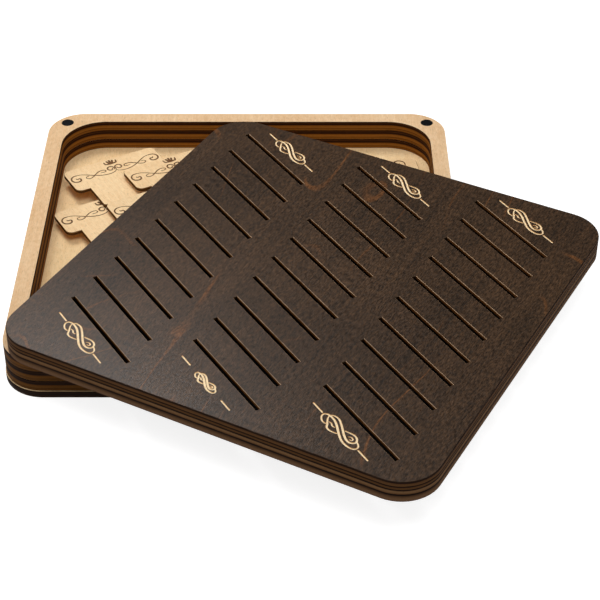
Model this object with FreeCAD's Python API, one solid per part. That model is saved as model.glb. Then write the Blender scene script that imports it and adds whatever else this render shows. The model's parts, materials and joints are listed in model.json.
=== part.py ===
"""Score board: a shallow plywood tray of loose plaques, with a slotted board as its magnetic lid.

The tray is a base plate under three open frames. The slotted board lies on the tray, held by disc
magnets in the corners, and is drawn here swung part open about its front left magnet. The loose
plaques lie in the tray in layers; each fits a slot of the board when it is in use.
Origin: centre of the tray's underside. X to the right, Y to the back, Z up. Millimetres and degrees.
"""
import FreeCAD, Part
import math
import os

Vector = FreeCAD.Vector
Z_AXIS = Vector(0, 0, 1)

# Tray
side = 230.0
corner_radius = 20.0
base_plate_thickness = 4.0
base_plate_lip = 0.4
frame_thickness = 6.0
frame_names = ("lower_frame", "middle_frame", "upper_frame")
frame_wall = 9.0
pocket_radius = 24.0

# Slotted board
board_thickness = 12.0
board_swing = 28.5
slot_columns = 3
slot_rows = 10
slot_length_clearance = 2.7
slot_width_clearance = 0.4
slot_slant = 29.9
slot_side_margin = 18.8
slot_end_margin = 14.0

# Disc magnets
magnet_diameter = 7.0
magnet_thickness = 3.0
magnet_inset = 10.0
magnet_chamfer = 0.3
magnet_stand = 0.3
magnet_clearance = 0.05
magnet_air_gap = 0.05

# Loose plaques: a wide head over a narrower stem
plaque_thickness = 2.0
head_width = 57.0
head_height = 22.6
head_radius = 4.0
stem_width = 41.4
stem_length = 19.4
stem_radius = 1.5
plaque_gap = 0.5
layer_gap = 0.05
wall_gap = 0.3

# Plaques spread about the first of each layer: its place from the pocket's back left corner, the
# layer's turn, the slip of each row against the next, and how many the layer holds
plaque_layers = (
    (112.0, 128.0, -6.0, 6.0, 7),
    (104.0, 122.0, 14.0, 10.0, 7),
    (30.1, 73.3, 29.5, 14.0, 6),
    (31.4, 35.2, 29.5, 14.0, 5),
)
# Plaques lying singly: layer, place from the pocket's back left corner, and turn
single_plaques = (
    (0, 197.0, 44.0, -82.0),
    (4, 59.0, 69.8, 29.5), (4, 138.0, 104.0, 64.0), (4, 82.0, 158.0, 12.0),
    (5, 66.0, 39.2, 29.5),
)

slot_length = head_width + slot_length_clearance
slot_width = plaque_thickness + slot_width_clearance
tray_height = base_plate_thickness + len(frame_names) * frame_thickness
board_bottom = tray_height + 2 * magnet_stand + magnet_air_gap
magnet_sink = magnet_thickness - magnet_stand
pocket_half = side / 2 - frame_wall
magnet_offset = side / 2 - magnet_inset
layer_step = plaque_thickness + layer_gap


def rounded_square(half, radius, bottom, height):
    """Square slab centred on the Z axis, with its four upright edges rounded."""
    slab = Part.makeBox(2 * half, 2 * half, height, Vector(-half, -half, bottom))
    uprights = [edge for edge in slab.Edges if abs(edge.tangentAt(edge.FirstParameter).z) > 0.5]
    return slab.makeFillet(radius, uprights)


def magnet_places():
    """Plan positions of the corner magnets, front left first."""
    return [(x * magnet_offset, y * magnet_offset) for x, y in ((-1, -1), (1, -1), (1, 1), (-1, 1))]


def magnet(x, y, bottom, face_up):
    """Disc magnet with its chamfered face up or down."""
    disc = Part.makeCylinder(magnet_diameter / 2, magnet_thickness, Vector(x, y, bottom))
    face_height = bottom + magnet_thickness if face_up else bottom
    rims = [edge for edge in disc.Edges
            if edge.Closed and abs(edge.BoundBox.ZMin - face_height) < 1e-6 and edge.BoundBox.ZLength < 1e-6]
    return disc.makeChamfer(magnet_chamfer, rims)


def magnet_hole(x, y, bottom, depth):
    """Blind hole for a magnet."""
    return Part.makeCylinder(magnet_diameter / 2 + magnet_clearance, depth, Vector(x, y, bottom))


def tray_frame(level):
    """Open square frame; the top one carries the tray's magnets in its upper face."""
    bottom = base_plate_thickness + level * frame_thickness
    ring = rounded_square(side / 2, corner_radius, bottom, frame_thickness)
    ring = ring.cut(rounded_square(pocket_half, pocket_radius, bottom, frame_thickness))
    if level == len(frame_names) - 1:
        depth = magnet_sink + magnet_clearance
        for x, y in magnet_places():
            ring = ring.cut(magnet_hole(x, y, tray_height - depth, depth))
    return ring


def slot_places():
    """Centres of the slots in rows and columns, with the end slots a set margin from the edges."""
    half_span = slot_length / 2 * math.cos(math.radians(slot_slant))
    half_rise = slot_length / 2 * math.sin(math.radians(slot_slant))
    last_x = side / 2 - slot_side_margin - half_span
    last_y = side / 2 - slot_end_margin - half_rise
    for column in range(slot_columns):
        for row in range(slot_rows):
            yield (last_x * (2 * column / (slot_columns - 1) - 1), last_y * (2 * row / (slot_rows - 1) - 1))


def slotted_board():
    """Thick board, square with the tray, with slanted through slots and magnet holes below."""
    board = rounded_square(side / 2, corner_radius, board_bottom, board_thickness)
    slots = []
    for x, y in slot_places():
        slot = Part.makeBox(slot_length, slot_width, board_thickness,
                            Vector(-slot_length / 2, -slot_width / 2, board_bottom))
        slot.rotate(Vector(0, 0, 0), Z_AXIS, -slot_slant)
        slot.translate(Vector(x, y, 0))
        slots.append(slot)
    holes = [magnet_hole(x, y, board_bottom, magnet_sink + magnet_clearance) for x, y in magnet_places()]
    return board.cut(Part.makeCompound(slots + holes))


def swing_open(shape):
    """Turn a piece of the closed lid about the front left magnet to where the board lies."""
    pivot_x, pivot_y = magnet_places()[0]
    shape.rotate(Vector(pivot_x, pivot_y, 0), Z_AXIS, -board_swing)
    return shape


def turned(x, y, angle):
    """Plan position turned about the origin."""
    turn = math.radians(angle)
    return x * math.cos(turn) - y * math.sin(turn), x * math.sin(turn) + y * math.cos(turn)


def plaque_corners():
    """Outer corners of a plaque's outline: centre of each corner's arc, and its radius."""
    for x, y in ((1, 1), (-1, 1), (-1, -1), (1, -1)):
        yield x * (head_width / 2 - head_radius), y * (head_height / 2 - head_radius), head_radius
    for x in (-1, 1):
        yield x * (stem_width / 2 - stem_radius), stem_radius - head_height / 2 - stem_length, stem_radius


def fits_pocket(x, y, turn):
    """Whether a plaque centred at x, y clears the tray's walls and rounded corners."""
    for corner_x, corner_y, radius in plaque_corners():
        dx, dy = turned(corner_x, corner_y, turn)
        reach_x, reach_y = abs(x + dx), abs(y + dy)
        if max(reach_x, reach_y) > pocket_half - wall_gap - radius:
            return False
        past_x, past_y = reach_x - (pocket_half - pocket_radius), reach_y - (pocket_half - pocket_radius)
        if min(past_x, past_y) > 0 and math.hypot(past_x, past_y) > pocket_radius - wall_gap - radius:
            return False
    return True


def layer_places(from_left, from_back, turn, slip, most):
    """Plaques of one layer, the nearest to its first one kept."""
    first_x, first_y = from_left - pocket_half, pocket_half - from_back
    reach = math.ceil(2 * side / head_height)
    places = []
    for row in range(-reach, reach + 1):
        for step in range(-reach, reach + 1):
            across = step * (head_width + plaque_gap) + row * slip
            down = -row * (head_height + stem_length + plaque_gap)
            dx, dy = turned(across, down, turn)
            if fits_pocket(first_x + dx, first_y + dy, turn):
                places.append((math.hypot(dx, dy), first_x + dx, first_y + dy))
    return [(x, y, turn) for _, x, y in sorted(places)[:most]]


def plaque_places():
    """Plan position, turn and underside of every loose plaque."""
    layers = [layer_places(*layer) for layer in plaque_layers]
    highest = max(level for level, *_ in single_plaques)
    layers += [[] for _ in range(highest + 1 - len(layers))]
    for level, from_left, from_back, turn in single_plaques:
        layers[level].append((from_left - pocket_half, pocket_half - from_back, turn))
    for level, layer in enumerate(layers):
        underside = base_plate_thickness + layer_gap + level * layer_step
        for x, y, turn in layer:
            yield x, y, turn, underside


def plaque():
    """One plaque centred on its head, lying flat on the XY plane."""
    head = Part.makeBox(head_width, head_height, plaque_thickness,
                        Vector(-head_width / 2, -head_height / 2, 0))
    stem = Part.makeBox(stem_width, stem_length + head_radius, plaque_thickness,
                        Vector(-stem_width / 2, -head_height / 2 - stem_length, 0))
    stem_end = -head_height / 2 - stem_length
    head = head.makeFillet(head_radius, [e for e in head.Edges if e.BoundBox.ZLength > plaque_thickness / 2])
    stem = stem.makeFillet(stem_radius, [e for e in stem.Edges if e.BoundBox.ZLength > plaque_thickness / 2
                                         and abs(e.BoundBox.YMin - stem_end) < 1e-6])
    return head.fuse(stem).removeSplitter()


def all_nodes():
    """Every node of the model by name."""
    nodes = {"base_plate": rounded_square(side / 2 + base_plate_lip, corner_radius + base_plate_lip,
                                          0, base_plate_thickness)}
    for level, name in enumerate(frame_names):
        nodes[name] = tray_frame(level)

    tray_magnets = [magnet(x, y, tray_height - magnet_sink, True) for x, y in magnet_places()]
    nodes["pivot_magnet"] = tray_magnets[0]
    nodes["tray_magnets"] = Part.makeCompound(tray_magnets[1:])

    board_magnets = [magnet(x, y, board_bottom - magnet_stand, False) for x, y in magnet_places()]
    nodes["slotted_board"] = swing_open(slotted_board())
    nodes["board_magnets"] = swing_open(Part.makeCompound(board_magnets))

    for number, (x, y, turn, underside) in enumerate(plaque_places(), start=1):
        loose = plaque()
        loose.rotate(Vector(0, 0, 0), Z_AXIS, turn)
        loose.translate(Vector(x, y, underside))
        nodes[f"plaque_{number:02d}"] = loose
    return nodes


os.makedirs("parts", exist_ok=True)
for node_name, shape in all_nodes().items():
    shape.exportStep(f"parts/{node_name}.step")
    box = shape.BoundBox
    print(f"{node_name}: {len(shape.Solids)} solid(s), {shape.Volume / 1000:.2f} cm3, valid {shape.isValid()}, "
          f"x {box.XMin:.1f}..{box.XMax:.1f}, y {box.YMin:.1f}..{box.YMax:.1f}, z {box.ZMin:.2f}..{box.ZMax:.2f}")
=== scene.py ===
"""Looks of the score board: plywood finishes, engraving, floor, light and camera.

The tray's plates and the magnets keep their own meshes and get a finish. The slotted board and the
loose plaques are modelled here with softened edges and engraving, and stand for their nodes.
Sizes below are millimetres and degrees in each piece's own frame; the scene is in metres.
"""

import json
import math

import bmesh
import bpy
from mathutils import Matrix, Vector
from mathutils.geometry import convex_hull_2d, delaunay_2d_cdt


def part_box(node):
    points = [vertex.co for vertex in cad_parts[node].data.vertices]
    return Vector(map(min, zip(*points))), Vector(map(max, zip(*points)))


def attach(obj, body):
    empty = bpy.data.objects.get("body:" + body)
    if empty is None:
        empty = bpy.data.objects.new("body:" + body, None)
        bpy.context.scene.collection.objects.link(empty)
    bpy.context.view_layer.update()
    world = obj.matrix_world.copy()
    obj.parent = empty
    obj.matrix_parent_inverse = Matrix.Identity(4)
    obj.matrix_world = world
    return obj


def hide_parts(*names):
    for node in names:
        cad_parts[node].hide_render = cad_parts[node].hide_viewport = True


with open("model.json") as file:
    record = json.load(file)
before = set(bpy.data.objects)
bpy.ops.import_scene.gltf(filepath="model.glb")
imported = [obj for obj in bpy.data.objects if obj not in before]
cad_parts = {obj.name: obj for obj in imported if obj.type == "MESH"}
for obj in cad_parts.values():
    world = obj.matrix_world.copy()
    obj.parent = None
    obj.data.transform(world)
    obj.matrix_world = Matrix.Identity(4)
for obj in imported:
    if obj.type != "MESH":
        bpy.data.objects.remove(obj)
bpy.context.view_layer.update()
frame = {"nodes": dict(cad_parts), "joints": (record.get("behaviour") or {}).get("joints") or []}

MM = 0.001

# Slotted board, square with its own sides and centred on them
BOARD_CORNER = 20.0
BOARD_SOFTENED = 0.35
SLOT_COLUMNS = 3
SLOT_ROWS = 10
SLOT_LENGTH = 59.7
SLOT_WIDTH = 2.4
SLOT_SLANT = 29.9
SLOT_SIDE_MARGIN = 18.8
SLOT_END_MARGIN = 14.0
SLOT_SOFTENED = 0.16
MAGNET_HOLE_RADIUS = 3.55
MAGNET_INSET = 10.0
MAGNET_DEPTH = 2.75

# Engraved ornaments on the board: shift from the middle of a column of slots, and place up the board
ORNAMENT_BACK = (4.8, 96.5)
ORNAMENT_FRONT = (-4.9, -96.0)
ORNAMENT_SLANT = 30.2
ORNAMENT_STROKE = 1.0
ORNAMENT_DEPTH = 0.4
MIDDLE_SCALE = 0.62

# Loose plaques: a wide head over a narrower stem, centred on the head
HEAD = (57.0, 22.6)
HEAD_CORNER = 4.0
STEM = (41.4, 19.4)
STEM_CORNER = 1.5
PLAQUE_SOFTENED = 0.22
FLOURISH_RISE = 0.9
FLOURISH_STROKE = 0.72
FLOURISH_DEPTH = 0.25

# Steps of arcs and of a stroke's round ends, and how much thinner a stroke is at its ends
ARC_STEP = 7.5
PEN_END_STEP = 45
PEN_TAPER = 0.35

# Edges that turn more than this stay sharp, and on the tray's plates get a soft arris
SHARP_ANGLE = 30
ARRIS_ANGLE = 50
PLATE_SOFTENED = 0.25
WELD_DISTANCE = 1e-6

# How much darker the tray's outer walls are than its inner ones
OUTER_WALL_DARKENING = 0.62


# ---------------------------------------------------------------- outlines and strokes, millimetres

def turned(point, angle):
    """A plan point turned about the origin."""
    turn = math.radians(angle)
    x, y = point
    return x * math.cos(turn) - y * math.sin(turn), x * math.sin(turn) + y * math.cos(turn)


def moved(points, shift, angle=0.0, scale=1.0):
    """Plan points scaled, turned and shifted."""
    result = []
    for x, y in points:
        x, y = turned((x * scale, y * scale), angle)
        result.append((x + shift[0], y + shift[1]))
    return result


def arc(centre, radius, start, sweep, step=ARC_STEP):
    """Points along an arc, ends included."""
    steps = max(2, math.ceil(abs(sweep) / step))
    angles = [math.radians(start + sweep * i / steps) for i in range(steps + 1)]
    return [(centre[0] + radius * math.cos(a), centre[1] + radius * math.sin(a)) for a in angles]


def ring(centre, radius, step=ARC_STEP):
    """Points round a circle."""
    return arc(centre, radius, 0, 360 - step, step)


def rounded_rectangle(width, height, radius, inset):
    """Outline of a rectangle with rounded corners, drawn in by an inset."""
    x, y = width / 2 - radius, height / 2 - radius
    corners = (((x, y), 0), ((-x, y), 90), ((-x, -y), 180), ((x, -y), 270))
    return [p for centre, start in corners for p in arc(centre, radius - inset, start, 90)]


def slot_outline(grow):
    """Outline of a slot about its own centre, wider all round by grow."""
    x, y = SLOT_LENGTH / 2 + grow, SLOT_WIDTH / 2 + grow
    return [(x, y), (-x, y), (-x, -y), (x, -y)]


def plaque_outline(inset):
    """Outline of a plaque, drawn in by an inset."""
    head_x, head_y = HEAD[0] / 2 - HEAD_CORNER, HEAD[1] / 2 - HEAD_CORNER
    stem_x, stem_y = STEM[0] / 2 - STEM_CORNER, -HEAD[1] / 2 - STEM[1] + STEM_CORNER
    head_r, stem_r = HEAD_CORNER - inset, STEM_CORNER - inset
    under = -HEAD[1] / 2 + inset
    points = arc((head_x, head_y), head_r, 0, 90) + arc((-head_x, head_y), head_r, 90, 90)
    points += arc((-head_x, -head_y), head_r, 180, 90) + [(-STEM[0] / 2 + inset, under)]
    points += arc((-stem_x, stem_y), stem_r, 180, 90) + arc((stem_x, stem_y), stem_r, 270, 90)
    return points + [(STEM[0] / 2 - inset, under)] + arc((head_x, -head_y), head_r, 270, 90)


def smooth_line(points, steps):
    """A smooth line through the points, with so many steps from each to the next."""
    ends = [points[0], *points, points[-1]]
    line = []
    for before, a, b, after in zip(ends, ends[1:], ends[2:], ends[3:]):
        for i in range(steps):
            t = i / steps
            weights = ((-t + 2 * t**2 - t**3) / 2, (2 - 5 * t**2 + 3 * t**3) / 2,
                       (t + 4 * t**2 - 3 * t**3) / 2, (t**3 - t**2) / 2)
            pulls = list(zip(weights, (before, a, b, after)))
            line.append(tuple(sum(w * p[k] for w, p in pulls) for k in (0, 1)))
    return [*line, points[-1]]


def stroke(line, width, taper=PEN_TAPER):
    """Convex areas that together cover a pen stroke along a line, fullest half way along."""
    sides = []
    for i, (x, y) in enumerate(line):
        ahead, behind = line[min(i + 1, len(line) - 1)], line[max(i - 1, 0)]
        run = Vector((ahead[0] - behind[0], ahead[1] - behind[1])).normalized()
        from_middle = abs(2 * i / (len(line) - 1) - 1)
        half = width / 2 * (1 - taper * from_middle**1.5)
        sides.append(((x - run.y * half, y + run.x * half), (x + run.y * half, y - run.x * half), half))
    areas = []
    for a, b in zip(sides, sides[1:]):
        corners = [a[0], a[1], b[1], b[0]]
        areas.append([corners[i] for i in convex_hull_2d(corners)])
    for end, (_, _, half) in ((line[0], sides[0]), (line[-1], sides[-1])):
        areas.append(ring(end, half, PEN_END_STEP))
    return areas


def mirrored(points):
    """Plan points mirrored left to right."""
    return [(-x, y) for x, y in points]


# ---------------------------------------------------------------- carved sheets

# Finish slots of a sheet: its faces, outer edge, engraved lines and the walls of its holes
FACE, EDGE, CUT, HOLE = range(4)

# Points and edges nearer than these are one: millimetres in a plan, metres in a mesh
SAME_PLAN_POINT = 1e-5
SAME_CORNER = 1e-8


class Sheet:
    """A flat sheet with softened edges, through holes and sunk areas in its two faces."""

    def __init__(self, thickness, softened, hole_softened=0.0):
        self.mesh = bmesh.new()
        self.thickness = thickness
        self.softened = softened
        self.hole_softened = hole_softened

    def face(self, corners, finish):
        """One face through corners given in millimetres."""
        verts = [self.mesh.verts.new((x * MM, y * MM, z * MM)) for x, y, z in corners]
        self.mesh.faces.new(verts).material_index = finish

    def wall(self, loops, finish):
        """Bands of faces between loops of as many points, each given as its points and height."""
        for (upper, top), (lower, bottom) in zip(loops, loops[1:]):
            for i in range(len(upper)):
                a, b, c, d = upper[i - 1], upper[i], lower[i], lower[i - 1]
                self.face([(*a, top), (*b, top), (*c, bottom), (*d, bottom)], finish)

    def side(self, outline, holes, sunk, height, depth):
        """The upper or lower face, with holes left out and the sunk areas lowered into the sheet."""
        areas = [outline, *holes, *sunk]
        points, faces = [], []
        for area in areas:
            faces.append(list(range(len(points), len(points) + len(area))))
            points += [Vector(p) for p in area]
        corners, _, triangles, _, _, owners = delaunay_2d_cdt(points, [], faces, 1, SAME_PLAN_POINT, True)
        first_sunk = 1 + len(holes)
        kept, sides_of = [], {}
        for triangle, owner in zip(triangles, owners):
            if 0 in owner and not any(0 < o < first_sunk for o in owner):
                low = any(o >= first_sunk for o in owner)
                kept.append((triangle, low))
                for a, b in zip(triangle, triangle[1:] + triangle[:1]):
                    sides_of.setdefault(frozenset((a, b)), []).append((a, b, low))
        for triangle, low in kept:
            level = height - depth if low else height
            self.face([(*corners[i], level) for i in triangle], CUT if low else FACE)
        for shared in sides_of.values():
            if len({low for _, _, low in shared}) == 2:
                a, b = (corners[i] for i in shared[0][:2])
                self.face([(*a, height), (*b, height), (*b, height - depth), (*a, height - depth)], CUT)

    def build(self, outline, holes, sunk_top, top_depth, sunk_bottom=(), bottom_depth=0.0):
        """outline and each hole give their points for a distance drawn in, and grown, respectively."""
        soft, top = self.softened, self.thickness
        rim = self.hole_softened
        inner, holes_wide = outline(soft), [hole(rim) for hole in holes]
        self.side(inner, holes_wide, sunk_top, top, top_depth)
        self.side(inner, holes_wide, sunk_bottom, 0.0, -bottom_depth)
        self.wall([(inner, top), (outline(0.0), top - soft), (outline(0.0), soft), (inner, 0.0)], EDGE)
        for hole, wide in zip(holes, holes_wide):
            self.wall([(wide, top), (hole(0.0), top - rim), (hole(0.0), rim), (wide, 0.0)], HOLE)
        bmesh.ops.remove_doubles(self.mesh, verts=self.mesh.verts, dist=SAME_CORNER)
        bmesh.ops.dissolve_degenerate(self.mesh, edges=self.mesh.edges, dist=SAME_CORNER)
        bmesh.ops.recalc_face_normals(self.mesh, faces=self.mesh.faces)

    def finished(self, name, finishes, place=Matrix()):
        """The mesh with its finishes, laid in its place."""
        made = bpy.data.meshes.new(name)
        self.mesh.transform(place)
        self.mesh.to_mesh(made)
        self.mesh.free()
        for finish in finishes:
            made.materials.append(finish)
        made.shade_smooth()
        made.set_sharp_from_angle(angle=math.radians(SHARP_ANGLE))
        return made


def add_object(name, data):
    """An object in the scene."""
    made = bpy.data.objects.new(name, data)
    bpy.context.scene.collection.objects.link(made)
    return made


# ---------------------------------------------------------------- shader maths

def srgb(red, green, blue):
    """A screen colour, 0 to 255, as the light values that a shader works in."""
    shares = [c / 255 for c in (red, green, blue)]
    return (*[s / 12.92 if s <= 0.04045 else ((s + 0.055) / 1.055) ** 2.4 for s in shares], 1.0)


class Wire:
    """A socket's value. Arithmetic on it adds Math nodes."""

    def __init__(self, finish, socket):
        self.finish = finish
        self.socket = socket

    def maths(self, operation, *values):
        """A Math node on these values."""
        return self.finish.node("Math", {"operation": operation}, dict(enumerate(values)))

    def __add__(self, other):
        return self.maths("ADD", self, other)

    def __sub__(self, other):
        return self.maths("SUBTRACT", self, other)

    def __rsub__(self, other):
        return self.maths("SUBTRACT", other, self)

    def __mul__(self, other):
        return self.maths("MULTIPLY", self, other)

    def __truediv__(self, other):
        return self.maths("DIVIDE", self, other)

    def __gt__(self, other):
        return self.maths("GREATER_THAN", self, other)

    def __abs__(self):
        return self.maths("ABSOLUTE", self)

    __radd__ = __add__


class Finish:
    """A material or a world, and the nodes that make its look."""

    def __init__(self, owner):
        owner.use_nodes = True
        self.owner = owner
        self.tree = owner.node_tree
        self.tree.nodes.clear()

    def node(self, kind, settings=None, sockets=None, output=0):
        """Adds a node: its settings first, then its sockets' values or links. Gives one output.

        An output is asked for by name or by its place; an end node has none.
        """
        made = self.tree.nodes.new("ShaderNode" + kind)
        for name, value in (settings or {}).items():
            if name == "stops":
                self.set_stops(made.color_ramp.elements, value)
            else:
                setattr(made, name, value)
        for name, value in (sockets or {}).items():
            socket = self.chosen(made.inputs, name)
            if isinstance(value, Wire):
                self.tree.links.new(value.socket, socket)
            else:
                socket.default_value = value
        return Wire(self, self.chosen(made.outputs, output)) if made.outputs else None

    @staticmethod
    def chosen(sockets, key):
        """The socket with a place or a name among those that a node's settings leave in use."""
        used = [s for s in sockets if s.enabled]
        return used[key] if isinstance(key, int) else next(s for s in used if s.name == key)

    @staticmethod
    def set_stops(elements, stops):
        """Fills a colour ramp with (place, colour) stops."""
        while len(elements) < len(stops):
            elements.new(0.5)
        for element, (place, colour) in zip(elements, stops):
            element.position = place
            element.color = colour

    def place(self, laid=Matrix()):
        """Position in a sheet's own frame, in millimetres, where laid is how the sheet lies."""
        own = self.node("TexCoord", output="Object")
        back = laid.inverted()
        own = self.node("Mapping", {"vector_type": "POINT"}, {
            "Vector": own, "Rotation": back.to_euler(), "Location": back.translation})
        return self.node("VectorMath", {"operation": "SCALE"}, {"Vector": own, "Scale": 1 / MM})

    def parts(self, vector):
        """The three numbers of a vector."""
        return [self.node("SeparateXYZ", None, {"Vector": vector}, axis) for axis in "XYZ"]

    def upright(self, tilt=0.5):
        """1 on the walls of a sheet, 0 on its two faces; a smaller tilt counts soft arrises as face."""
        own = self.node("TexCoord", output="Normal")
        return 1 - (abs(self.parts(own)[2]) > tilt)

    def noise(self, place, sizes, detail=2.0, rough=0.5, shift=(0.0, 0.0, 0.0)):
        """Noise from 0 to 1 whose blots have these sizes, in millimetres, along X, Y and Z."""
        scaled = self.node("VectorMath", {"operation": "MULTIPLY_ADD"},
                           {0: place, 1: tuple(1 / s for s in sizes), 2: shift})
        return self.node("TexNoise", None,
                         {"Vector": scaled, "Scale": 1.0, "Detail": detail, "Roughness": rough})

    def ramp(self, value, start, end, mode="LINEAR"):
        """A number that runs from one (value, result) pair to another and stays level beyond them."""
        return self.node("MapRange", {"interpolation_type": mode},
                         {"Value": value, "From Min": start[0], "From Max": end[0],
                          "To Min": start[1], "To Max": end[1]})

    def colours(self, value, stops):
        """A colour ramp of (value, colour) stops."""
        return self.node("ValToRGB", {"stops": stops}, {"Fac": value})

    def mix(self, factor, first, second):
        """Two colours mixed."""
        return self.node("Mix", {"data_type": "RGBA"}, {"Factor": factor, "A": first, "B": second})

    def facing(self, direction):
        """How far the surface faces along a direction."""
        return self.node("VectorMath", {"operation": "DOT_PRODUCT"},
                         {0: self.node("TexCoord", output="Normal"), 1: direction}, "Value")

    def shaded(self, colour, brightness):
        """A colour made brighter or darker by a number."""
        return self.node("VectorMath", {"operation": "SCALE"}, {"Vector": colour, "Scale": brightness})

    def surface(self, colour, rough, height, bump, **constants):
        """The material: colour, roughness, bump from a height in millimetres, and plain settings."""
        normal = self.node("Bump", None, {"Strength": bump, "Distance": MM, "Height": height})
        sockets = {"Base Color": colour, "Roughness": rough, "Normal": normal}
        sockets.update({name.replace("_", " "): value for name, value in constants.items()})
        shader = self.node("BsdfPrincipled", None, sockets)
        self.node("OutputMaterial", None, {"Surface": shader})
        return self.owner


def material_finish(name):
    return Finish(bpy.data.materials.new(name))


# ---------------------------------------------------------------- finishes

# Pale wood as its lightest and darkest colours
# The base plate's birch is kept lighter than the frames': painted light on the tray's floor, which the
# walls shade
BASE_BIRCH_PAINTED_LIGHT = (srgb(255, 224, 176), srgb(238, 198, 144))
FRAME_BIRCH = (srgb(238, 206, 166), srgb(216, 174, 128))
PLAQUE_BIRCH = (srgb(252, 220, 172), srgb(234, 192, 138))
BOARD_ENGRAVING = (srgb(255, 236, 196), srgb(216, 170, 108))
PLAQUE_ENGRAVING = (srgb(116, 72, 24), srgb(60, 34, 10))
STAIN = (srgb(86, 61, 39), srgb(37, 27, 18))
GROWTH_LINE = srgb(134, 80, 32)
NICKEL = (srgb(20, 21, 24), srgb(44, 45, 50))

# Roughness: raw birch, laser-cut walls, stained satin, engraved lines
BIRCH_ROUGH = 0.62
PLAQUE_ROUGH = 0.6
WALL_ROUGH = 0.82
SATIN_ROUGH = 0.29
ENGRAVED_ROUGH = 0.7

# Depth of the grain in the bumps
BIRCH_RELIEF = 0.12
PLAQUE_RELIEF = 0.1
STAIN_RELIEF = 0.16
ENGRAVED_RELIEF = 0.15
NICKEL_RELIEF = 0.03

# How strongly raw and stained wood mirror
RAW_MIRROR = 0.1
WALL_MIRROR = 0.06
SATIN_MIRROR = 0.45


def birch_face(finish, place, light, dark):
    """Pale birch veneer with its grain along Y: broad figure, streaks, fibres and short pores."""
    figure = finish.noise(place, (30, 55, 40), 2.0)
    streaks = finish.noise(place, (1.6, 60, 20), 3.0, 0.6, (3.1, 0.0, 0.0))
    mottle = finish.noise(place, (2.2, 3.4, 3), 3.0, 0.65, (0.0, 1.1, 0.0))
    fibres = finish.noise(place, (0.4, 5, 4), 2.0, 0.6, (0.0, 5.2, 0.0))
    pores = finish.noise(place, (0.5, 2.2, 3), 1.0, 0.5, (7.7, 1.3, 0.0))
    shade = finish.ramp(figure, (0.3, 0.0), (0.7, 0.4)) + finish.ramp(streaks, (0.3, 0.0), (0.7, 0.25))
    shade = shade + finish.ramp(mottle, (0.35, 0.0), (0.68, 0.4))
    colour = finish.mix(shade, light, dark)
    level = 1.02 + (fibres - 0.5) * 0.3 - finish.ramp(pores, (0.6, 0.0), (0.76, 0.2))
    return finish.shaded(colour, level), fibres * 0.6 + pores * 0.4


def burnt_wall(finish, place, height_share, colours):
    """Laser-cut wall of a sheet: plies as bands up its thickness, streaked along the cut."""
    streaks = finish.noise(place, (9, 9, 0.35), 3.0, 0.65)
    fine = finish.noise(place, (0.6, 0.6, 2.5), 2.0, 0.6, (2.2, 0.0, 0.0))
    banded = finish.colours(height_share + (streaks - 0.5) * 0.06, colours)
    level = 0.72 + streaks * 0.36 + fine * 0.22
    return finish.shaded(banded, level), streaks * 0.7 + fine * 0.3


def plate_finish(name, low, high, plies, tilt, birch):
    """Birch plate between two heights: pale faces, burnt walls that are darkest on the outside."""
    finish = material_finish(name)
    place = finish.place()
    face, grain = birch_face(finish, place, *birch)
    height = finish.parts(place)[2]
    share = (height - low / MM) * (MM / (high - low))
    wall, streaks = burnt_wall(finish, place, share, plies)
    outward = finish.facing(place) > 0
    wall = finish.shaded(wall, 1 - outward * OUTER_WALL_DARKENING)
    upright = finish.upright(tilt)
    colour = finish.mix(upright, face, wall)
    relief = grain * (1 - upright) + streaks * upright
    rough = BIRCH_ROUGH + upright * (WALL_ROUGH - BIRCH_ROUGH)
    return finish.surface(colour, rough, relief, BIRCH_RELIEF, Specular_IOR_Level=RAW_MIRROR)


def stained_face(laid):
    """Dark stained birch, satin, grain along Y with a few thin wandering growth lines."""
    finish = material_finish("dark stained birch")
    place = finish.place(laid)
    broad = finish.noise(place, (45, 70, 40), 2.0)
    streaks = finish.noise(place, (2.0, 45, 20), 3.0, 0.6, (1.7, 0.0, 0.0))
    mottle = finish.noise(place, (1.5, 2.6, 3), 3.0, 0.7, (2.0, 0.0, 0.0))
    fibres = finish.noise(place, (0.75, 3.0, 4), 2.0, 0.7, (0.0, 3.3, 0.0))
    pores = finish.noise(place, (0.5, 1.9, 3), 1.0, 0.5, (9.1, 4.3, 0.0))
    wander = finish.noise(place, (75, 210, 90), 1.5, 0.4, (4.4, 0.0, 0.0))
    patches = finish.noise(place, (30, 45, 40), 1.0, 0.5, (0.0, 8.8, 0.0))
    phase = wander * 34 + finish.parts(place)[0] * 0.06
    rings = abs(phase.maths("SINE", phase))
    lines = finish.ramp(rings, (0.045, 1.0), (0.11, 0.0)) * finish.ramp(patches, (0.5, 0.0), (0.62, 1.0))
    shade = finish.ramp(streaks, (0.3, 0.0), (0.7, 0.4)) + finish.ramp(broad, (0.3, 0.0), (0.7, 0.25))
    shade = shade + finish.ramp(mottle, (0.34, 0.0), (0.66, 0.45))
    colour = finish.mix(lines * 0.38, finish.mix(shade, *STAIN), GROWTH_LINE)
    level = finish.ramp(fibres, (0.36, 0.55), (0.62, 1.5)) - finish.ramp(pores, (0.54, 0.0), (0.7, 0.28))
    rough = SATIN_ROUGH + finish.ramp(fibres, (0.36, 0.0), (0.62, 0.12)) + (mottle - 0.5) * 0.12
    relief = fibres * 0.7 + pores * 0.3
    return finish.surface(finish.shaded(colour, level), rough, relief, STAIN_RELIEF,
                          Specular_IOR_Level=SATIN_MIRROR)


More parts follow.
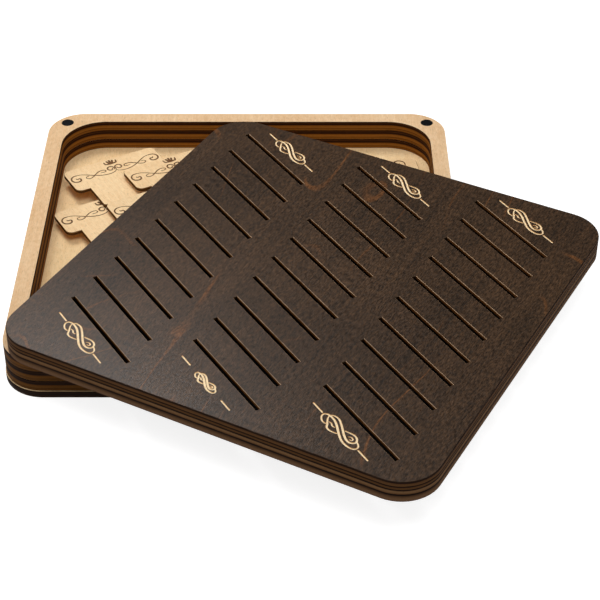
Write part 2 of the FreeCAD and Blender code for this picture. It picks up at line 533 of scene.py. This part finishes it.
# Colours of cut walls from the underside, 0, to the upper face, 1
BOARD_PLIES = (
    (0.0, srgb(70, 48, 34)), (0.08, srgb(104, 77, 56)), (0.19, srgb(98, 71, 48)), (0.26, srgb(78, 54, 34)),
    (0.31, srgb(54, 34, 19)), (0.335, srgb(14, 7, 3)), (0.375, srgb(16, 8, 4)), (0.4, srgb(84, 56, 33)),
    (0.44, srgb(104, 74, 46)), (0.51, srgb(114, 84, 56)), (0.55, srgb(88, 61, 38)), (0.57, srgb(12, 6, 3)),
    (0.615, srgb(14, 7, 3)), (0.63, srgb(74, 48, 24)), (0.7, srgb(82, 53, 26)), (0.735, srgb(26, 13, 5)),
    (0.77, srgb(28, 15, 5)), (0.8, srgb(90, 60, 32)), (0.9, srgb(80, 52, 28)), (0.93, srgb(34, 18, 7)),
    (0.97, srgb(26, 14, 7)), (1.0, srgb(60, 45, 34)),
)
# Slot walls: painted shade, black below the top few millimetres where light does not reach, then a brown
# band lightened as painted light, and a pale line on the softened rim
SLOT_WALL_PAINTED_LIGHT_AND_SHADE = (
    (0.0, srgb(26, 14, 7)), (0.3, srgb(20, 10, 4)), (0.8, srgb(6, 3, 1)), (0.85, srgb(30, 15, 5)),
    (0.89, srgb(98, 58, 22)), (0.95, srgb(118, 74, 32)), (0.975, srgb(84, 52, 26)),
    (0.99, srgb(186, 154, 122)),
)
PLATE_PLIES = (
    (0.0, srgb(20, 8, 1)), (0.04, srgb(120, 74, 22)), (0.16, srgb(142, 90, 30)), (0.26, srgb(104, 62, 16)),
    (0.34, srgb(150, 96, 34)), (0.54, srgb(140, 86, 26)), (0.64, srgb(52, 24, 4)), (0.78, srgb(40, 17, 2)),
    (0.84, srgb(76, 42, 12)), (0.93, srgb(56, 28, 6)), (0.97, srgb(22, 9, 2)), (1.0, srgb(20, 9, 3)),
)
BASE_PLIES = (
    (0.0, srgb(30, 17, 9)), (0.2, srgb(72, 46, 26)), (0.35, srgb(76, 49, 28)), (0.42, srgb(26, 14, 7)),
    (0.5, srgb(30, 16, 8)), (0.58, srgb(66, 42, 24)), (0.78, srgb(60, 38, 22)), (0.88, srgb(30, 17, 9)),
    (1.0, srgb(150, 118, 84)),
)
PLAQUE_PLIES = (
    (0.0, srgb(62, 38, 18)), (0.3, srgb(120, 82, 44)), (0.42, srgb(64, 40, 20)), (0.58, srgb(58, 36, 18)),
    (0.7, srgb(132, 92, 50)), (0.92, srgb(104, 70, 36)), (1.0, srgb(96, 62, 30)),
)

# Walls whose facing along the shaded direction passes the first are darker by the second: painted shade on
# the slots' end walls, which the light does not reach
SHADED_END_FACING = 0.6
PAINTED_END_SHADE = 0.85


def ply_edge(name, thickness, plies, laid=Matrix(), shade_along=None):
    """The walls of a sheet whose underside lies at its own zero height.

    Walls that face along the shade direction, such as the ends of slots, are painted nearly black as
    shade.
    """
    finish = material_finish(name)
    place = finish.place(laid)
    height = finish.parts(place)[2]
    wall, streaks = burnt_wall(finish, place, height / thickness, plies)
    if shade_along is not None:
        # painted shade: walls facing along the slots are darkened nearly to black
        wall = finish.shaded(wall, 1 - (abs(finish.facing(shade_along)) > SHADED_END_FACING) * PAINTED_END_SHADE)
    return finish.surface(wall, WALL_ROUGH, streaks, BIRCH_RELIEF, Specular_IOR_Level=WALL_MIRROR)


def engraved_wood(name, light, dark, laid=Matrix()):
    """Bottom and sides of an engraved line."""
    finish = material_finish(name)
    place = finish.place(laid)
    fibres = finish.noise(place, (0.5, 4, 2), 2.0)
    mottle = finish.noise(place, (1.4, 1.4, 1.4), 2.0, 0.5, (0.0, 0.0, 6.0))
    upright = finish.upright()
    colour = finish.mix(upright * 0.55 + finish.ramp(mottle, (0.35, 0.0), (0.75, 0.4)), light, dark)
    colour = finish.shaded(colour, 0.85 + fibres * 0.3)
    return finish.surface(colour, ENGRAVED_ROUGH, fibres, ENGRAVED_RELIEF)


def plaque_face():
    """Pale birch of the plaques; each plaque is cut from another part of the veneer."""
    finish = material_finish("plaque birch")
    own = finish.node("ObjectInfo", output="Random")
    cut_from = finish.node("CombineXYZ", None, {"X": own * 900, "Y": own * 500, "Z": own * 70})
    place = finish.node("VectorMath", {"operation": "ADD"}, {0: finish.place(), 1: cut_from})
    face, grain = birch_face(finish, place, *PLAQUE_BIRCH)
    return finish.surface(finish.shaded(face, 0.96 + own * 0.07), PLAQUE_ROUGH, grain, PLAQUE_RELIEF)


def magnet_finish():
    """Black nickel with soft scuffs."""
    finish = material_finish("black nickel")
    place = finish.place()
    scuffs = finish.noise(place, (0.7, 0.7, 0.7), 3.0, 0.6)
    spots = finish.noise(place, (3, 3, 3), 1.0, 0.5, (0.0, 0.0, 2.0))
    colour = finish.mix(scuffs, *NICKEL)
    rough = 0.28 + scuffs * 0.15 + spots * 0.08
    return finish.surface(colour, rough, scuffs, NICKEL_RELIEF, Metallic=0.85)


# ---------------------------------------------------------------- tray

# A normal that rises more than this is a face's: the frames' soft arrises count as wall, and the base
# plate's mostly as face
BASE_TILT = 0.5
FRAME_TILT = 0.93


def soften_edges(node):
    """Takes the sharp arrises off a plate's display mesh."""
    weld = node.modifiers.new("weld", "WELD")
    weld.merge_threshold = WELD_DISTANCE
    bevel = node.modifiers.new("arris", "BEVEL")
    bevel.width = PLATE_SOFTENED * MM
    bevel.segments = 2
    bevel.limit_method = "ANGLE"
    bevel.angle_limit = math.radians(ARRIS_ANGLE)
    bevel.harden_normals = True


def dress_plate(name, plies, tilt, birch):
    node = frame["nodes"][name]
    low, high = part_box(name)
    finish_name = name.replace("_", " ") + " birch"
    node.data.materials[0] = plate_finish(finish_name, low.z, high.z, plies, tilt, birch)
    soften_edges(node)


def dress_tray():
    # the base plate's lighter birch is painted light on the shaded tray floor
    dress_plate("base_plate", BASE_PLIES, BASE_TILT, BASE_BIRCH_PAINTED_LIGHT)
    for name in ("lower_frame", "middle_frame", "upper_frame"):
        dress_plate(name, PLATE_PLIES, FRAME_TILT, FRAME_BIRCH)
    nickel = magnet_finish()
    for name in ("pivot_magnet", "tray_magnets", "board_magnets"):
        frame["nodes"][name].data.materials[0] = nickel


# ---------------------------------------------------------------- slotted board

# Each ornament's dashes, from the inner end to the outer, and their height
DASH = (15.0, 22.6)
DASH_HEIGHT = -0.1
DASH_WIDTH = 0.85


def ornament_body():
    """Lines of the knotted double scroll and the share of the stroke that each is wide."""
    upper = [(-11.2, 1.5), (-10.6, 2.9), (-8.8, 3.7), (-6.6, 3.8), (-4, 3.0), (-1.5, 2.0), (1, 0.9),
             (3.5, -0.1), (6, -0.8), (8.3, -0.7), (9.8, 0.4), (10.1, 1.8), (9.0, 3.2), (7.0, 3.9),
             (4.8, 3.6), (2.8, 2.7), (1.3, 2.0)]
    lower = [(9.7, 2.4), (11.6, 2.0), (13.2, 1.0), (13.6, -0.6), (12.3, -2.1), (9.8, -2.9), (7, -3.1),
             (4.2, -2.6), (1.5, -1.6), (-1, -0.6), (-4, 0.7), (-7, 1.6), (-9.8, 1.8), (-12, 1.5),
             (-13.5, 0.4), (-13.4, -1.2), (-11.9, -2.6), (-9.7, -3.3), (-7.9, -2.9)]
    under = [(-11.2, 1.2), (-10.1, -0.3), (-8.3, -1.6), (-6.9, -2.6), (-5.4, -3.8), (-3.4, -4.0),
             (-1.2, -3.2), (0.6, -2.2)]
    left_curl = [(-7.9, -0.9), (-6.4, -0.6), (-4.9, -1.2), (-3.4, -0.8)]
    right_curl = [(5.2, 0.9), (6.0, 1.9), (7.6, 1.9), (8.0, 0.9), (6.9, 0.5)]
    return (upper, 1.12), (lower, 1.12), (under, 1.0), (left_curl, 0.8), (right_curl, 0.75)


def ornament(centre, scale=1.0):
    """Knotted double scroll between two dashes, slanted like the slots; the scale leaves the dashes."""
    areas = []
    for line, width in ornament_body():
        drawn = moved(smooth_line(line, 4), (0, 0), scale=scale)
        areas += stroke(drawn, ORNAMENT_STROKE * width)
    for end in (-1, 1):
        dash = [(x * end, DASH_HEIGHT) for x in DASH]
        areas += stroke(dash, ORNAMENT_STROKE * DASH_WIDTH, taper=0.0)
    return [moved(area, centre, -ORNAMENT_SLANT) for area in areas]


def slot_places(side):
    """The slots' columns and rows, with the end ones a set margin from the board's edges."""
    slant = math.radians(SLOT_SLANT)
    last_x = side / 2 - SLOT_SIDE_MARGIN - SLOT_LENGTH / 2 * math.cos(slant)
    last_y = side / 2 - SLOT_END_MARGIN - SLOT_LENGTH / 2 * math.sin(slant)
    columns = [last_x * (2 * i / (SLOT_COLUMNS - 1) - 1) for i in range(SLOT_COLUMNS)]
    rows = [last_y * (2 * i / (SLOT_ROWS - 1) - 1) for i in range(SLOT_ROWS)]
    return columns, rows


def engraved_areas(columns):
    """An ornament at each end of each column of slots; the one at the front of the middle is smaller."""
    areas = []
    for column, x in enumerate(columns):
        areas += ornament((x + ORNAMENT_BACK[0], ORNAMENT_BACK[1]))
        scale = MIDDLE_SCALE if column == SLOT_COLUMNS // 2 else 1.0
        areas += ornament((x + ORNAMENT_FRONT[0], ORNAMENT_FRONT[1]), scale)
    return areas


def board_place():
    """How the closed board, centred on the tray, lies when it is swung open."""
    swivel = next(j for j in frame["joints"] if j["name"] == "board_swivel")
    pivot = Vector(swivel["pos_m"])
    turn = Matrix.Rotation(-math.radians(swivel["range_deg"][1]), 4, "Z")
    closed = Matrix.Translation((0, 0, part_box("slotted_board")[0].z))
    return Matrix.Translation(pivot) @ turn @ Matrix.Translation(-pivot) @ closed


def make_board():
    tray_low, tray_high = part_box("upper_frame")
    board_low, board_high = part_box("slotted_board")
    side = (tray_high.x - tray_low.x) / MM
    thickness = (board_high.z - board_low.z) / MM
    columns, rows = slot_places(side)

    def outline(inset):
        return rounded_rectangle(side, side, BOARD_CORNER, inset)

    def hole_at(place):
        return lambda grow: moved(slot_outline(grow), place, -SLOT_SLANT)

    holes = [hole_at((x, y)) for x in columns for y in rows]
    corner = side / 2 - MAGNET_INSET
    pockets = [ring((x * corner, y * corner), MAGNET_HOLE_RADIUS) for x in (-1, 1) for y in (-1, 1)]
    sheet = Sheet(thickness, BOARD_SOFTENED, SLOT_SOFTENED)
    sheet.build(outline, holes, engraved_areas(columns), ORNAMENT_DEPTH, pockets, MAGNET_DEPTH)

    laid = board_place()
    along_slots = laid.to_3x3() @ Vector((*turned((1, 0), -SLOT_SLANT), 0))
    # The slot walls carry painted light and shade by depth, and painted shade on their ends
    finishes = (stained_face(laid), ply_edge("dark plies", thickness, BOARD_PLIES, laid),
                engraved_wood("pale engraving", *BOARD_ENGRAVING, laid),
                ply_edge("slot walls with painted shade", thickness, SLOT_WALL_PAINTED_LIGHT_AND_SHADE, laid, shade_along=along_slots))
    board = add_object("slotted_board_sheet", sheet.finished("slotted_board_sheet", finishes, laid))
    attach(board, "board")
    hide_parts("slotted_board")


# ---------------------------------------------------------------- loose plaques

def flourish():
    """Mirrored scrollwork across the head, with a small fan above its middle."""
    spiral = [(-23.9, 0.2), (-23.3, -0.5), (-22.2, -0.3), (-21.7, -1.3), (-22.4, -2.8), (-24.2, -3.2),
              (-26.1, -2.2), (-26.8, -0.2), (-26.2, 1.8), (-24.6, 3.1), (-22.4, 3.3)]
    tail = [(-22.4, 3.3), (-20, 2.9), (-17, 1.2), (-14, -0.9), (-10.8, -2.7), (-7, -3.9), (-3.5, -3.9),
            (-1, -2.9), (0, -1.6)]
    loop = [(-16.4, -0.3), (-18.0, -0.7), (-18.4, -2.0), (-16.8, -3.1), (-14.6, -2.4), (-12.4, -0.7),
            (-10, 0.9), (-7.6, 1.4), (-6.0, 0.8), (-5.8, -0.4), (-7.2, -0.9), (-9.0, -0.8)]
    curl = [(-1.4, 0.7), (-1.7, -0.5), (-3.0, -0.9), (-4.1, 0.1), (-4.0, 1.8), (-2.7, 2.7), (-0.9, 2.2),
            (-0.4, 0.5), (-0.5, -1.0)]
    fan_side = [(-0.4, 5.0), (-1.8, 5.4), (-3.2, 5.9), (-3.6, 7.9)]
    areas = []
    for line, width in ((spiral, 1.4), (tail, 0.9), (loop, 0.95), (curl, 1.25), (fan_side, 1.6)):
        for side in (line, mirrored(line)):
            areas += stroke(smooth_line(side, 3), FLOURISH_STROKE * width)
    for x, top in ((0.0, 8.8), (-1.7, 8.3), (1.7, 8.3)):
        areas += stroke([(x * 0.4, 5.2), (x, top)], FLOURISH_STROKE * 1.7, taper=0.0)
    return [moved(area, (0, FLOURISH_RISE)) for area in areas]


# A face whose normal rises less than this is a wall
UPRIGHT = 0.1


def plaque_place(node):
    """Where a plaque lies: its largest wall is the top of its head, which gives its place and turn."""
    mesh = node.data
    wall = max((p for p in mesh.polygons if abs(p.normal.z) < UPRIGHT), key=lambda p: p.area)
    up = Vector((wall.normal.x, wall.normal.y, 0)).normalized()
    across = Vector((up.y, -up.x, 0))
    corners = [mesh.vertices[i].co for i in wall.vertices]
    along = [c.dot(across) for c in corners]
    middle = across * (min(along) + max(along)) / 2 + up * corners[0].dot(up)
    centre = middle - up * HEAD[1] / 2 * MM
    low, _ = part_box(node.name)
    place = Matrix((across, up, Vector((0, 0, 1)))).transposed().to_4x4()
    place.translation = (centre.x, centre.y, low.z)
    return place


def make_plaques():
    names = sorted(n for n in frame["nodes"] if n.startswith("plaque_"))
    low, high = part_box(names[0])
    thickness = (high.z - low.z) / MM
    sheet = Sheet(thickness, PLAQUE_SOFTENED)
    sheet.build(plaque_outline, [], flourish(), FLOURISH_DEPTH)
    finishes = (plaque_face(), ply_edge("plaque plies", thickness, PLAQUE_PLIES),
                engraved_wood("burnt engraving", *PLAQUE_ENGRAVING))
    mesh = sheet.finished("plaque_sheet", finishes)
    for name in names:
        plaque = add_object(name + "_sheet", mesh)
        plaque.matrix_world = plaque_place(frame["nodes"][name])
        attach(plaque, name)
        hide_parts(name)


# ---------------------------------------------------------------- floor, light, camera

WHITE = (1.0, 1.0, 1.0, 1.0)

# The floor is matt to the light it passes on. Seen, it glows and is less matt, so it shows white
# with a faint shadow. It lies a hair below the tray.
FLOOR_MATT = 0.86
FLOOR_SHADE = 0.55
FLOOR_GLOW = 0.82
FLOOR_REACH = 4.0
FLOOR_DROP = 0.0002

# Even light on matt surfaces, and what glossy ones mirror from above the white horizon
AMBIENT = 0.34
CEILING = 0.05
HORIZON = (0.02, 0.14)

# Soft lights: name, azimuth and elevation seen from the object, distance, size, radiance
LIGHTS = (
    ("back_left", -31, 54.5, 0.75, (0.26, 0.25), 9.8),
    ("overhead", 160, 71, 1.4, (0.8, 0.7), 3.8),
    ("left", -100, 42, 1.5, (0.7, 0.6), 1.2),
)
LIT_POINT = Vector((0.03, -0.06, 0.03))

CAMERA_LENS = 101.84
CAMERA_SENSOR = 36.0
CAMERA_CLIP = (0.05, 20.0)
CAMERA_PLACE = (0.0314, -0.7462, 0.5437)
CAMERA_TURN = (math.pi / 2 - 0.6539, 0.0, 0.0006)


def grey(level):
    return level, level, level, 1.0


def make_floor():
    """Plain white floor that shows white to the camera and still takes the object's shadow."""
    finish = material_finish("white floor")
    seen = finish.node("LightPath", output="Is Camera Ray")
    seen = seen + finish.node("LightPath", output="Is Glossy Ray")
    seen = seen + finish.node("LightPath", output="Is Transmission Ray")
    matt = finish.node("BsdfDiffuse", None, {"Color": grey(FLOOR_MATT)})
    shade = finish.node("BsdfDiffuse", None, {"Color": grey(FLOOR_SHADE)})
    glow = finish.node("Emission", None, {"Color": WHITE, "Strength": FLOOR_GLOW})
    both = finish.node("AddShader", None, {0: shade, 1: glow})
    surface = finish.node("MixShader", None, {0: seen, 1: matt, 2: both})
    finish.node("OutputMaterial", None, {"Surface": surface})
    mesh = bpy.data.meshes.new("floor")
    corners = [(x * FLOOR_REACH, y * FLOOR_REACH, 0) for x, y in ((-1, -1), (1, -1), (1, 1), (-1, 1))]
    mesh.from_pydata(corners, [], [(0, 1, 2, 3)])
    mesh.materials.append(finish.owner)
    floor = add_object("floor", mesh)
    floor.location.z = -FLOOR_DROP


def softbox(name, azimuth, elevation, distance, size, radiance):
    """A soft light aimed at the object. Azimuth 0 is behind it, and 90 to its right."""
    a, e = math.radians(azimuth), math.radians(elevation)
    away = Vector((math.sin(a) * math.cos(e), math.cos(a) * math.cos(e), math.sin(e)))
    lamp = bpy.data.lights.new(name, "AREA")
    lamp.shape = "RECTANGLE"
    lamp.size, lamp.size_y = size
    lamp.energy = radiance * size[0] * size[1] * math.pi
    made = add_object(name, lamp)
    made.location = LIT_POINT + away * distance
    made.rotation_euler = away.to_track_quat("Z", "Y").to_euler()
    made.visible_camera = False


def make_world():
    """White all round to the camera; dim even light, with a white horizon in reflections."""
    world = bpy.data.worlds.new("studio")
    bpy.context.scene.world = world
    studio = Finish(world)
    up = studio.parts(studio.node("TexCoord", output="Generated"))[2]
    horizon = studio.ramp(up, (HORIZON[0], 1.0), (HORIZON[1], 0.0), mode="SMOOTHSTEP")
    camera = studio.node("LightPath", output="Is Camera Ray")
    camera = camera + studio.node("LightPath", output="Is Transmission Ray")
    mirrored_sky = studio.node("LightPath", output="Is Glossy Ray")
    level = camera + mirrored_sky * (horizon + (1 - horizon) * CEILING)
    level = level + (1 - camera) * (1 - mirrored_sky) * AMBIENT
    light = studio.node("Background", None, {"Color": WHITE, "Strength": level})
    studio.node("OutputWorld", None, {"Surface": light})


def make_camera():
    camera = bpy.data.cameras.new("camera")
    camera.lens = CAMERA_LENS
    camera.sensor_width = CAMERA_SENSOR
    camera.clip_start, camera.clip_end = CAMERA_CLIP
    made = add_object("camera", camera)
    made.location = CAMERA_PLACE
    made.rotation_euler = CAMERA_TURN
    bpy.context.scene.camera = made


bpy.context.scene.view_settings.view_transform = "Standard"
dress_tray()
make_board()
make_plaques()
make_floor()
make_world()
for light in LIGHTS:
    softbox(*light)
make_camera()
